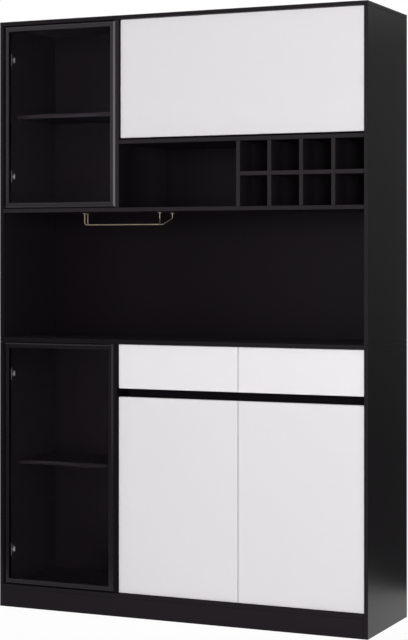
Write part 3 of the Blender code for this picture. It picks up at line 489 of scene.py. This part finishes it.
def build_materials(finishes):
    """Every finish, under the name of its slot or of the pieces that wear it."""
    board, metal = board_surface_group(), drawn_metal_group()
    edges, field = edge_band_group(), tone_field_group()
    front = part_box("countertop")[0].y
    # The rack's band, also worn by the upper display shelf, is painted light
    inner, rack = finishes.inner_face, finishes.rack_band_painted_light
    made = {
        "black_laminate": banded_material(
            "satin_black_laminate", board, edges,
            (finishes.laminate, finishes.carcass_band, finishes.laminate), front,
            finishes.laminate_gloss, LAMINATE_SPECULAR),
        "upper_door_frame": moulding_material(
            "satin_black_upper_moulding", board, finishes.door_frame, UPPER_FRAME_SPECULAR),
        "lower_door_frame": moulding_material(
            "satin_black_lower_moulding", board, finishes.door_frame, LOWER_FRAME_SPECULAR),
        # The upper back's paler left end is painted sheen, and its paler part above the upper floor panel is
        # painted light
        "upper_back": hardboard_material(
            "black_upper_hardboard", board, field, (finishes.bay_back_left_painted_sheen, finishes.back),
            (finishes.high_back_left_painted_light_and_sheen, finishes.high_back_painted_light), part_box("upper_floor_panel")[0].z),
        "lower_back": hardboard_material(
            "black_lower_hardboard", board, field, (finishes.low_back_left_painted_sheen, finishes.back),
            (finishes.low_back_left_painted_sheen, finishes.back), 0.0),
        # One white lacquer in three copies: the flap's darker, the doors' and the drawers' lighter, as
        # painted shade and light
        "white_lacquer": lacquer_material("smooth_white_lacquer", board, finishes.lacquer),
        "door_lacquer": lacquer_material("smooth_white_door_lacquer", board, finishes.door_lacquer),
        "drawer_lacquer": lacquer_material("smooth_white_drawer_lacquer", board, finishes.drawer_lacquer),
        "grey_drawer_board": feed_shader(
            new_material("grey_drawer_board"), board,
            {"Colour": opaque(finishes.drawer_board), "Clouding": 0.06, "Roughness": 0.55,
             "Roughness Change": 0.06, "Texture Scale": 600.0}, relief=0.00005),
        "clear_glass": glass_material("clear_pane", finishes.glass_tint),
    }
    # Matt boards: material, tones of the faces, the band and the depth, and place of the front edge
    # The upper and lower copies of the matt board differ in tone as painted light above and painted shade
    # below
    matt_boards = {
        "upper_board": ("matt_black_upper_board", (inner, finishes.upper_band_painted_light, finishes.inner_depth_painted_light), front),
        "lower_board": ("matt_black_lower_board",
                        (finishes.lower_face_painted_shade, finishes.lower_band_painted_shade, finishes.lower_face_painted_shade), front),
        "foot_board": ("matt_black_foot_board", (inner, finishes.foot_band, inner), front),
        "rack_board": ("matt_black_rack_board", (finishes.cell_face, rack, finishes.cell_depth_painted_light), front),
        "upper_shelf_board": ("matt_black_upper_shelf", (inner, rack, inner),
                              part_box("upper_display_shelf")[0].y),
        "lower_shelf_board": ("matt_black_lower_shelf", (inner, finishes.lower_shelf_band_painted_shade, inner),
                              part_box("lower_display_shelf")[0].y),
    }
    for finish, (name, tones, edge) in matt_boards.items():
        made[finish] = banded_material(name, board, edges, tones, edge)
    # Metals: material, colour, roughness, lines, relief, metallic and specular
    metals = {
        "zinc_steel": ("zinc_plate", finishes.steel, 0.42, ALONG_Y, 0.00002, 0.75, 0.5),
        "hinge_steel": ("dark_nickel", finishes.hinge_steel, 0.34, ALONG_Y, 0.00002, 0.6, 0.5),
        "bright_steel": ("bright_nickel", finishes.bright_steel, 0.30, ALONG_Y, 0.00002, 0.1, 0.5),
        "black_steel": ("black_strut_paint", finishes.strut, 0.28, NO_GRAIN, 0.00001, 0.0, 0.4),
        "champagne_wire": ("champagne_gold_wire", finishes.wire, 0.36, ALONG_X, 0.00001, 0.8, 0.5),
    }
    for finish, (name, tone, rough, lines, relief, metallic, specular) in metals.items():
        made[finish] = feed_shader(new_material(name), metal,
                                   {"Colour": opaque(tone), "Roughness": rough, "Line Scale": lines}, relief,
                                   specular=specular, metallic=metallic)
    return made


# Stage

def deselect_all():
    for item in list(bpy.context.selected_objects):
        item.select_set(False)


def blank_tree(holder, output):
    """The emptied node tree of a material or of the world, and the inputs of its new output node."""
    holder.use_nodes = True
    tree = holder.node_tree
    tree.nodes.clear()
    return tree, tree.nodes.new(output).inputs


def camera_ray_mask(tree):
    """1 where a camera, glossy or transmission ray looks, and 0 for the light on the object."""
    path = tree.nodes.new('ShaderNodeLightPath').outputs
    first = add_math(tree, 'MAXIMUM', path['Is Camera Ray'], path['Is Glossy Ray'])
    return add_math(tree, 'MAXIMUM', first, path['Is Transmission Ray'])


def mix_shaders(tree, part, first, second):
    shaders = {0: part, 1: first.outputs[0], 2: second.outputs[0]}
    return add_node(tree, 'ShaderNodeMixShader', shaders).outputs[0]


def build_world(level):
    world = bpy.data.worlds.new("studio_world")
    bpy.context.scene.world = world
    tree, out = blank_tree(world, 'ShaderNodeOutputWorld')
    light = add_node(tree, 'ShaderNodeBackground', {'Color': WHITE, 'Strength': level})
    seen = add_node(tree, 'ShaderNodeBackground', {'Color': WHITE, 'Strength': 1.0})
    tree.links.new(mix_shaders(tree, camera_ray_mask(tree), light, seen), out['Surface'])


def floor_material(tone, glow):
    material = bpy.data.materials.new("studio_floor")
    tree, out = blank_tree(material, 'ShaderNodeOutputMaterial')
    cover = add_node(tree, 'ShaderNodeBsdfDiffuse', {'Color': opaque(tone)})
    white = add_node(tree, 'ShaderNodeEmission', {'Strength': 1.0})
    part = add_math(tree, 'MULTIPLY', camera_ray_mask(tree), glow)
    tree.links.new(mix_shaders(tree, part, cover, white), out['Surface'])
    return material


def card_material(name, stops):
    """A glow that changes over the card's height, from 0 at its foot to 1 at its top."""
    material = bpy.data.materials.new(name)
    tree, out = blank_tree(material, 'ShaderNodeOutputMaterial')
    height = add_node(tree, 'ShaderNodeSeparateXYZ', {0: object_place(tree)}).outputs['Y']
    shade = add_node(tree, 'ShaderNodeValToRGB', {'Fac': add_math(tree, 'ADD', height, 0.5)})
    points = shade.color_ramp.elements
    for index, (share_of_height, level) in enumerate(stops):
        point = points[index] if index < 2 else points.new(share_of_height)
        point.position = share_of_height
        point.color = (level, level, level, 1.0)
    glow = add_node(tree, 'ShaderNodeEmission', {'Color': shade.outputs['Color']})
    tree.links.new(glow.outputs[0], out['Surface'])
    return material


def add_area_lamp(name, place, aim, size, energy):
    """A soft lamp that gloss doesn't show."""
    light = bpy.data.lights.new(name, 'AREA')
    light.shape = 'RECTANGLE'
    light.size, light.size_y = size
    light.energy = energy
    lamp = bpy.data.objects.new(name, light)
    bpy.context.scene.collection.objects.link(lamp)
    lamp.location = place
    lamp.rotation_euler = (Vector(aim) - Vector(place)).to_track_quat('-Z', 'Y').to_euler()
    lamp.visible_glossy = False


def add_card(name, place, size, stops):
    """An upright card that only reflections see."""
    deselect_all()
    bpy.ops.mesh.primitive_plane_add(size=1.0, location=place, rotation=(QUARTER, 0.0, 0.0))
    card = bpy.context.object
    card.name = name
    card.scale = (*size, 1.0)
    card.data.materials.append(card_material(f"{name}_glow", stops))
    for ray in ('visible_camera', 'visible_diffuse', 'visible_transmission', 'visible_shadow'):
        setattr(card, ray, False)


class SIDEBOARD_OT_stage(bpy.types.Operator):
    """Lay the floor, set the lamps and the world, and place the camera"""
    bl_idname = "sideboard.stage"
    bl_label = "Stage"

    def execute(self, context):
        studio = context.scene.sideboard_studio
        deselect_all()
        bpy.ops.mesh.primitive_plane_add(size=FLOOR_SIZE, location=(0.0, 0.0, -FLOOR_DROP))
        floor = context.object
        floor.name = "studio_floor"
        floor.data.materials.append(floor_material(studio.floor, studio.floor_glow))
        build_world(studio.world_level)
        add_area_lamp("key_lamp", *KEY_LAMP, studio.key_power)
        add_area_lamp("side_lamp", *SIDE_LAMP, studio.side_power)
        for name, card in CARDS.items():
            add_card(name, *card)
        lens = bpy.data.cameras.new("photo_camera")
        lens.sensor_fit = 'AUTO'
        lens.sensor_width = SENSOR_WIDTH
        lens.lens = studio.camera_lens
        lens.shift_x, lens.shift_y = studio.camera_shift
        camera = bpy.data.objects.new("photo_camera", lens)
        context.scene.collection.objects.link(camera)
        camera.location = studio.camera_place
        camera.rotation_euler = (QUARTER, 0.0, studio.camera_turn)
        context.scene.camera = camera
        context.scene.view_settings.view_transform = 'Standard'
        return {'FINISHED'}


# Fittings

def choose_alone(item):
    """Make one object the only one that is selected, and the active one."""
    deselect_all()
    item.select_set(True)
    bpy.context.view_layer.objects.active = item


@contextmanager
def editing(item):
    """Edit mode on one piece, with none of its faces chosen."""
    choose_alone(item)
    bpy.ops.object.mode_set(mode='EDIT')
    bpy.ops.mesh.select_mode(type='FACE')
    bpy.ops.mesh.select_all(action='DESELECT')
    yield
    bpy.ops.object.mode_set(mode='OBJECT')


def choose_faces_up(item, least_height=-1.0):
    """In edit mode, choose the faces that look up and lie above a height."""
    bpy.ops.mesh.select_mode(type='FACE')
    mesh = bmesh.from_edit_mesh(item.data)
    for face in mesh.faces:
        face.select_set(face.normal.z > FACES_UP and face.calc_center_median().z > least_height)
    bmesh.update_edit_mesh(item.data)


def choose_edges(item, test):
    """In edit mode, choose the edges whose two ends pass the test."""
    bpy.ops.mesh.select_mode(type='EDGE')
    mesh = bmesh.from_edit_mesh(item.data)
    for edge in mesh.edges:
        edge.select_set(test(*(corner.co for corner in edge.verts)))
    bmesh.update_edit_mesh(item.data)


def apply_place():
    bpy.ops.object.transform_apply(location=True, rotation=True, scale=True)


def start_piece(kind, **place):
    """A primitive alone in the selection, with its size in its mesh."""
    deselect_all()
    getattr(bpy.ops.mesh, f"primitive_{kind}_add")(**place)
    apply_place()
    return bpy.context.object


def start_disc(sides, radius, depth, foot=0.0):
    """An upright cylinder over the middle of the XY plane, from its foot up."""
    return start_piece('cylinder', vertices=sides, radius=radius, depth=depth,
                       location=(0.0, 0.0, foot + depth / 2))


def start_block(width, length, rise):
    """A box over the middle of the XY plane."""
    return start_piece('cube', size=1.0, location=(0.0, 0.0, rise / 2), scale=(width, length, rise))


def throw_away(*items):
    for item in items:
        choose_alone(item)
        bpy.ops.object.delete()


def combine(item, tool, operation='DIFFERENCE'):
    """Cut the tool out of the piece, or fuse it on, and throw the tool away."""
    choose_alone(item)
    bpy.ops.object.modifier_add(type='BOOLEAN')
    change = item.modifiers[-1]
    change.operation = operation
    change.solver = 'EXACT'
    change.object = tool
    bpy.ops.object.modifier_apply(modifier=change.name)
    throw_away(tool)


def join_pieces(pieces):
    """One object that holds all the pieces."""
    choose_alone(pieces[0])
    if len(pieces) > 1:
        for piece in pieces[1:]:
            piece.select_set(True)
        bpy.ops.object.join()
    return bpy.context.object


def upright(point, normal, turn=0.0):
    """The place of a pattern that was modelled on the XY plane and now faces along the normal."""
    facing = normal.to_track_quat('Z', 'Y').to_matrix().to_4x4()
    return Matrix.Translation(point) @ facing @ Matrix.Rotation(turn, 4, 'Z')


def place_copies(pattern, places):
    """One copy of the pattern at each place, each with its own mesh, joined into one piece."""
    copies = []
    for place in places:
        choose_alone(pattern)
        bpy.ops.object.duplicate()
        bpy.context.object.matrix_world = place
        copies.append(bpy.context.object)
    piece = join_pieces(copies)
    apply_place()
    return piece


def hand_over(piece, name, body, finish):
    """Name a finished piece, give it its finish, and let it move with its body."""
    choose_alone(piece)
    bpy.ops.object.shade_smooth_by_angle(angle=ROUND_ANGLE)
    piece.name = name
    piece.data.name = name
    piece.data.materials.clear()
    piece.data.materials.append(bpy.data.materials[finish])
    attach(piece, body)


# The fittings, each modelled once on the XY plane, facing up

def model_screw(radius, rise):
    """A pan-head screw's head with a cross recess."""
    head = start_disc(SCREW_SIDES, radius, rise)
    with editing(head):
        choose_faces_up(head)
        bpy.ops.mesh.inset(thickness=radius * SCREW_SLOPE, depth=rise * SCREW_CROWN)
    for turn in (0.0, QUARTER):
        blade = start_piece('cube', size=1.0, location=(0.0, 0.0, rise * CROSS_MIDDLE),
                            rotation=(0.0, 0.0, turn),
                            scale=(radius * CROSS_LENGTH, radius * CROSS_WIDTH, rise))
        combine(head, blade)
    return head


def model_nail(radius, rise):
    """A nail's low domed head."""
    head = start_disc(NAIL_SIDES, radius, rise / 2)
    with editing(head):
        choose_faces_up(head)
        bpy.ops.mesh.inset(thickness=radius * NAIL_SLOPE, depth=rise / 2)
    return head


def model_pin(radius, reach):
    """A shelf pin's shank with its narrower tip."""
    pin = start_disc(PIN_SIDES, radius, reach * PIN_SHANK)
    with editing(pin):
        choose_faces_up(pin)
        bpy.ops.mesh.inset(thickness=radius * PIN_SHOULDER)
        bpy.ops.mesh.extrude_region_move(
            TRANSFORM_OT_translate={"value": (0.0, 0.0, reach * (1.0 - PIN_SHANK))})
        bpy.ops.mesh.inset(thickness=radius * PIN_TIP, depth=radius * STEP_DEPTH)
    return pin


def model_clip(width, rise):
    """A release clip with a sloping edge and a dent."""
    clip = start_block(width, CLIP_LENGTH, rise)
    with editing(clip):
        choose_faces_up(clip)
        bpy.ops.mesh.inset(thickness=CLIP_SLOPE, depth=rise * CLIP_CROWN)
        choose_faces_up(clip, rise)
        bpy.ops.mesh.inset(thickness=CLIP_BORDER, depth=-rise * CLIP_DENT)
    return clip


def model_cup_rim(radius):
    """A hinge cup's ring with its two wings."""
    rim = start_disc(CUP_SIDES, radius, CUP_PROUD)
    wings = start_block(*CUP_WINGS, CUP_PROUD)
    with editing(wings):
        choose_edges(wings, lambda first, second: abs(first.z - second.z) > CUP_PROUD / 2)
        bpy.ops.mesh.bevel(offset=CUP_WING_ROUND, segments=3, affect='EDGES')
    combine(rim, wings, 'UNION')
    combine(rim, start_disc(CUP_SIDES, radius - CUP_RIM, CUP_PROUD, CUP_PROUD / 2))
    return rim


def model_cup_bowl(radius):
    """The black floor inside a hinge cup's ring, with a step round it."""
    bowl = start_disc(CUP_SIDES, radius, CUP_PROUD * BOWL_DEPTH, CUP_PROUD * BOWL_FOOT)
    with editing(bowl):
        choose_faces_up(bowl)
        bpy.ops.mesh.inset(thickness=CUP_STEP, depth=-CUP_PROUD * STEP_DEPTH)
    return bowl


def hinge_places():
    """For each hinge arm its name, its foot's front edge, the way it stands off and the joint's way."""
    rows = []
    for name in sorted(node for node in frame["nodes"] if node.endswith("hinge_arm")):
        low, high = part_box(name)
        foot = (low + high) / 2
        foot.y = low.y
        if name.startswith("flap"):
            foot.z, away, along = high.z, DOWN, RIGHT
        elif name.startswith("right"):
            foot.x, away, along = high.x, LEFT, UP
        else:
            foot.x, away, along = low.x, RIGHT, UP
        rows.append((name, foot, away, along))
    return rows


class SIDEBOARD_OT_hinge_screws(bpy.types.Operator):
    """Put two fixing screws on every hinge arm, and an adjusting screw on the glass doors' arms"""
    bl_idname = "sideboard.hinge_screws"
    bl_label = "Hinge Screws"

    def execute(self, context):
        sizes = context.scene.sideboard_fittings
        fixing = model_screw(sizes.wing_screw, sizes.screw_rise)
        adjuster = model_screw(sizes.arm_screw, sizes.screw_rise)
        for name, foot, away, along in hinge_places():
            wing = foot + away * WING_FACE + BACK * WING_DEPTH
            places = [upright(wing + along * step, away, EIGHTH) for step in (-WING_STEP, WING_STEP)]
            pieces = [place_copies(fixing, places)]
            if "glass_door" in name:
                middle = foot + away * ARM_FACE + BACK * ARM_SCREW_DEPTH
                pieces.append(place_copies(adjuster, [upright(middle, away)]))
            hand_over(join_pieces(pieces), name.replace("_arm", "_screws"), "cabinet",
                      "bright_nickel")
        throw_away(fixing, adjuster)
        return {'FINISHED'}


class SIDEBOARD_OT_hinge_clips(bpy.types.Operator):
    """Press a bright release clip on the rear end of every hinge arm"""
    bl_idname = "sideboard.hinge_clips"
    bl_label = "Hinge Clips"

    def execute(self, context):
        sizes = context.scene.sideboard_fittings
        clip = model_clip(sizes.clip_width, sizes.clip_rise)
        for name, foot, away, along in hinge_places():
            middle = foot + away * ARM_FACE + BACK * CLIP_DEPTH
            turned = Matrix((BACK.cross(away), BACK, away)).transposed().to_4x4()
            piece = place_copies(clip, [Matrix.Translation(middle) @ turned])
            hand_over(piece, name.replace("_arm", "_clip"), "cabinet", "bright_nickel")
        throw_away(clip)
        return {'FINISHED'}


class SIDEBOARD_OT_hinge_cups(bpy.types.Operator):
    """Set the round hinge cups with their winged rims flush in the backs of the white fronts"""
    bl_idname = "sideboard.hinge_cups"
    bl_label = "Hinge Cups"

    def execute(self, context):
        sizes = context.scene.sideboard_fittings
        rim = model_cup_rim(sizes.cup_radius)
        bowl = model_cup_bowl(sizes.cup_radius - CUP_RIM - FIT)
        screw = model_screw(sizes.wing_screw, sizes.screw_rise)
        for front, body in CUP_FRONTS.items():
            cups, screws = [], []
            for name, foot, away, along in hinge_places():
                if not name.startswith(front):
                    continue
                middle = foot + away * CUP_FROM_PANEL
                middle.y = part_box(front)[1].y
                cups.append(upright(middle, BACK, 0.0 if along.x else QUARTER))
                screws += [upright(middle + BACK * CUP_PROUD + along * step, BACK, EIGHTH)
                           for step in (-CUP_SCREW_STEP, CUP_SCREW_STEP)]
            rims = join_pieces([place_copies(rim, cups), place_copies(screw, screws)])
            hand_over(rims, f"{front}_hinge_cup_rims", body, "bright_nickel")
            hand_over(place_copies(bowl, cups), f"{front}_hinge_cup_bowls", body,
                      "black_strut_paint")
        throw_away(rim, bowl, screw)
        return {'FINISHED'}


class SIDEBOARD_OT_glazing_beads(bpy.types.Operator):
    """Run the black bead that holds each pane in the rebate behind it"""
    bl_idname = "sideboard.glazing_beads"
    bl_label = "Glazing Beads"

    def execute(self, context):
        sizes = context.scene.sideboard_fittings
        for door in ("upper_glass_door", "lower_glass_door"):
            low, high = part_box(f"{door}_glass")
            middle = (low + high) / 2
            middle.y = high.y + FIT
            deselect_all()
            bpy.ops.mesh.primitive_plane_add(size=1.0, location=middle, rotation=(QUARTER, 0.0, 0.0))
            bead = context.object
            bead.scale = (high.x - low.x, high.z - low.z, 1.0)
            apply_place()

            def is_inner_rear(*ends):
                reach = (high - low - (RIGHT + UP) * sizes.bead_width) / 2
                return all(end.y > middle.y + sizes.bead_depth / 2 and abs(end.x - middle.x) < reach.x
                           and abs(end.z - middle.z) < reach.z for end in ends)

            with editing(bead):
                bpy.ops.mesh.select_all(action='SELECT')
                bpy.ops.mesh.inset(thickness=sizes.bead_width)
                bpy.ops.mesh.delete(type='FACE')
                bpy.ops.mesh.select_all(action='SELECT')
                bpy.ops.mesh.extrude_region_move(
                    TRANSFORM_OT_translate={"value": (0.0, sizes.bead_depth, 0.0)})
                bpy.ops.mesh.select_all(action='SELECT')
                bpy.ops.mesh.normals_make_consistent(inside=False)
                choose_edges(bead, is_inner_rear)
                bpy.ops.mesh.bevel(offset=sizes.bead_width * BEAD_ROUND, segments=2, affect='EDGES')
            hand_over(bead, f"{door}_glazing_bead", door,
                      "satin_black_" + door.replace("glass_door", "moulding"))
        return {'FINISHED'}


class SIDEBOARD_OT_shelf_pins(bpy.types.Operator):
    """Stand each display shelf on four black pins"""
    bl_idname = "sideboard.shelf_pins"
    bl_label = "Shelf Pins"

    def execute(self, context):
        sizes = context.scene.sideboard_fittings
        pin = model_pin(sizes.pin_radius, sizes.pin_length)
        for level in ("upper", "lower"):
            low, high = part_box(f"{level}_display_shelf")
            height = low.z - FIT - sizes.pin_radius
            places = []
            for depth in (low.y + PIN_SETBACK, high.y - PIN_SETBACK):
                places.append(upright((low.x, depth, height), RIGHT))
                places.append(upright((high.x, depth, height), LEFT))
            hand_over(place_copies(pin, places), f"{level}_shelf_pins", "cabinet",
                      "black_strut_paint")
        throw_away(pin)
        return {'FINISHED'}


class SIDEBOARD_OT_back_nails(bpy.types.Operator):
    """Nail the back panels to the boards that end against them"""
    bl_idname = "sideboard.back_nails"
    bl_label = "Back Panel Nails"

    def execute(self, context):
        sizes = context.scene.sideboard_fittings
        nail = model_nail(sizes.nail_radius, sizes.nail_rise)
        for level, boards in NAILED_BOARDS.items():
            places = []
            for board in boards:
                low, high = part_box(board)
                run = 0 if high.x - low.x > high.z - low.z else 2
                reach = high[run] - low[run] - 2 * NAIL_FROM_END
                steps = max(1, round(reach / NAIL_SPACING))
                for index in range(steps + 1):
                    spot = (low + high) / 2
                    spot.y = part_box(f"{level}_back_panel")[1].y
                    spot[run] = low[run] + NAIL_FROM_END + reach * index / steps
                    places.append(upright(spot, BACK))
            hand_over(place_copies(nail, places), f"{level}_back_nails", "cabinet",
                      "zinc_plate")
        throw_away(nail)
        return {'FINISHED'}


class SIDEBOARD_OT_rack_screws(bpy.types.Operator):
    """Screw the stemware rack's plates to the upper cabinet"""
    bl_idname = "sideboard.rack_screws"
    bl_label = "Rack Screws"

    def execute(self, context):
        sizes = context.scene.sideboard_fittings
        screw = model_screw(sizes.rack_screw, sizes.screw_rise)
        low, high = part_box("stemware_rack")
        under = high.z - RACK_PLATE
        middle = (low.y + high.y) / 2
        half_plate = (high.y - low.y) / 2 - RACK_MOUTH_HALF_GAP
        mouth = high.x - half_plate + RACK_SCREW_SHIFT
        spots = [(low.x + half_plate, middle, under)]
        spots += [(mouth, middle + side * RACK_MOUTH_HALF_GAP, under) for side in (-1.0, 1.0)]
        piece = place_copies(screw, [upright(spot, DOWN, EIGHTH) for spot in spots])
        hand_over(piece, "stemware_rack_screws", "cabinet", "champagne_gold_wire")
        throw_away(screw)
        return {'FINISHED'}


class SIDEBOARD_OT_drawer_screws(bpy.types.Operator):
    """Screw each drawer front on from inside its tray"""
    bl_idname = "sideboard.drawer_screws"
    bl_label = "Drawer Screws"

    def execute(self, context):
        sizes = context.scene.sideboard_fittings
        screw = model_screw(sizes.wing_screw, sizes.screw_rise)
        for side in ("left", "right"):
            low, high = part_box(f"{side}_drawer_tray")
            face = low.y + TRAY_WALL
            middle = (low.z + high.z) / 2
            places = [upright((across, face, middle + lift), BACK, EIGHTH)
                      for across in (low.x + FRONT_SCREW_INSET, high.x - FRONT_SCREW_INSET)
                      for lift in (-FRONT_SCREW_LIFT, FRONT_SCREW_LIFT)]
            hand_over(place_copies(screw, places), f"{side}_drawer_front_screws", f"{side}_drawer",
                      "zinc_plate")
        throw_away(screw)
        return {'FINISHED'}


class SIDEBOARD_OT_finishes(bpy.types.Operator):
    """Give every board, pane and metal part its finish"""
    bl_idname = "sideboard.finishes"
    bl_label = "Finishes"

    def execute(self, context):
        made = build_materials(context.scene.sideboard_finishes)
        missing = {finish_of(name) for name in frame["nodes"]} - set(made)
        if missing:
            raise RuntimeError(f"no material for {', '.join(sorted(missing))}")
        for name, node in frame["nodes"].items():
            for holder in node.material_slots:
                holder.material = made[finish_of(name)]
        return {'FINISHED'}


class SIDEBOARD_PT_panel(bpy.types.Panel):
    """Lists the steps that dress the sideboard"""
    bl_idname = "SIDEBOARD_PT_panel"
    bl_label = "Sideboard"
    bl_space_type = 'VIEW_3D'
    bl_region_type = 'UI'
    bl_category = "Sideboard"

    def draw(self, context):
        for step in STEPS:
            self.layout.operator(step.bl_idname)
        scene = context.scene
        for group in (scene.sideboard_finishes, scene.sideboard_fittings, scene.sideboard_studio):
            for key in group.__annotations__:
                self.layout.prop(group, key)


STEPS = (SIDEBOARD_OT_finishes, SIDEBOARD_OT_hinge_screws, SIDEBOARD_OT_hinge_clips, SIDEBOARD_OT_hinge_cups,
         SIDEBOARD_OT_glazing_beads, SIDEBOARD_OT_shelf_pins, SIDEBOARD_OT_back_nails,
         SIDEBOARD_OT_rack_screws, SIDEBOARD_OT_drawer_screws, SIDEBOARD_OT_stage)
GROUPS = (SideboardFinishes, SideboardFittings, SideboardStudio)


def register():
    for item in (*GROUPS, *STEPS, SIDEBOARD_PT_panel):
        bpy.utils.register_class(item)
    bpy.types.Scene.sideboard_finishes = bpy.props.PointerProperty(type=SideboardFinishes)
    bpy.types.Scene.sideboard_fittings = bpy.props.PointerProperty(type=SideboardFittings)
    bpy.types.Scene.sideboard_studio = bpy.props.PointerProperty(type=SideboardStudio)


def unregister():
    del bpy.types.Scene.sideboard_studio
    del bpy.types.Scene.sideboard_fittings
    del bpy.types.Scene.sideboard_finishes
    for item in reversed((*GROUPS, *STEPS, SIDEBOARD_PT_panel)):
        bpy.utils.unregister_class(item)


def main():
    register()
    for step in STEPS:
        section, action = step.bl_idname.split(".")
        getattr(getattr(bpy.ops, section), action)()


if __name__ == "__main__":
    main()
